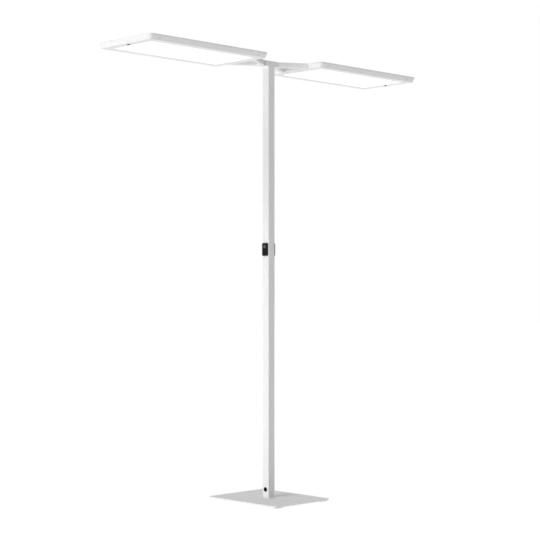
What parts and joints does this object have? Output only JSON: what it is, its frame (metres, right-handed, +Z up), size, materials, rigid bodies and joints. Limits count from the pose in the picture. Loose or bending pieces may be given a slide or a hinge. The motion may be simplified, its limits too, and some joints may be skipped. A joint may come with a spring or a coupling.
{
  "type": "floor lamp",
  "caption": "Tall office floor lamp: square column on a flat base, with flat panel heads to each side on swivelling wing brackets, and push-button controls.",
  "frame": {"origin": "on the floor, under the middle of the base plate and on the column's axis", "axes": "+Z up along the column; +X along the right head; +Y across the heads, away from the side of the left hinge"},
  "size_m": [1.647, 0.427, 1.9485],
  "materials": {
    "white_steel": "fine white powder coat",
    "white_aluminium": "fine white powder coat",
    "white_plastic": "white, matched to the coated metal",
    "bare_aluminium": "plain machined",
    "screw_steel": "zinc plated",
    "white_screw": "white coated screw heads",
    "black_plastic": "fine texture",
    "button_grey": "smooth",
    "foot_rubber": "pale grey rubber",
    "contact_brass": "plated contact",
    "green_board": "circuit board",
    "bush_plastic": "self-lubricating plastic",
    "opal_diffuser": "satin opal",
    "clear_guide": "clear polished",
    "reflector_white": "white film",
    "led_board": "white circuit board",
    "driver_case": "white plastic case",
    "sensor_black": "dark tinted lens",
    "sensor_grey": "light grey window"
  },
  "bodies": {
    "stand": {"base_plate": "white_steel", "base_feet": "foot_rubber", "base_screws": "screw_steel", "column_foot": "bare_aluminium", "column_foot_grub_screws": "screw_steel", "column": "white_aluminium", "column_top_grub_screws": "screw_steel", "inlet_socket": "black_plastic", "inlet_contacts": "contact_brass", "inlet_nut": "black_plastic", "connector_body": "white_aluminium", "connector_cover": "white_aluminium", "connector_cover_screws": "screw_steel", "left_control_housing": "black_plastic", "right_control_housing": "black_plastic", "left_control_plate": "black_plastic", "right_control_plate": "black_plastic", "left_control_plate_screws": "screw_steel", "right_control_plate_screws": "screw_steel", "left_control_board": "green_board", "right_control_board": "green_board", "left_control_switch": "black_plastic", "right_control_switch": "black_plastic", "left_hinge_pin": "screw_steel", "right_hinge_pin": "screw_steel"},
    "left_head": {"left_hinge_bushes": "bush_plastic", "left_wing_bracket": "white_aluminium", "left_wing_screws": "white_screw", "left_head_profile": "white_aluminium", "left_inner_end_cap": "white_aluminium", "left_outer_end_cap": "white_plastic", "left_end_cap_screws": "screw_steel", "left_diffuser_panel": "opal_diffuser", "left_light_guide": "clear_guide", "left_reflector": "reflector_white", "left_led_strips": "led_board", "left_led_driver": "driver_case", "left_sensor_lens": "sensor_black", "left_sensor_windows": "sensor_grey", "left_sensor_module": "black_plastic"},
    "right_head": {"right_hinge_bushes": "bush_plastic", "right_wing_bracket": "white_aluminium", "right_wing_screws": "white_screw", "right_head_profile": "white_aluminium", "right_inner_end_cap": "white_aluminium", "right_outer_end_cap": "white_plastic", "right_end_cap_screws": "screw_steel", "right_diffuser_panel": "opal_diffuser", "right_light_guide": "clear_guide", "right_reflector": "reflector_white", "right_led_strips": "led_board", "right_led_driver": "driver_case", "right_sensor_lens": "sensor_black", "right_sensor_windows": "sensor_grey", "right_sensor_module": "black_plastic"},
    "left_button": {"left_control_button": "button_grey"},
    "right_button": {"right_control_button": "button_grey"}
  },
  "joints": [
    {"name": "left_head_swivel", "type": "hinge", "parent": "stand", "child": "left_head", "pos_m": [-0.0395, -0.014, 1.93675], "axis": [0, 0, 1], "range_deg": [0, 90]},
    {"name": "right_head_swivel", "type": "hinge", "parent": "stand", "child": "right_head", "pos_m": [0.0395, 0.014, 1.93675], "axis": [0, 0, 1], "range_deg": [0, 90]},
    {"name": "left_button_press", "type": "slide", "parent": "stand", "child": "left_button", "axis": [1, 0, 0], "range_m": [0, 0.0008], "stiffness_N_per_m": 1500, "springref_m": -0.0003},
    {"name": "right_button_press", "type": "slide", "parent": "stand", "child": "right_button", "axis": [-1, 0, 0], "range_m": [0, 0.0008], "stiffness_N_per_m": 1500, "springref_m": -0.0003}
  ]
}
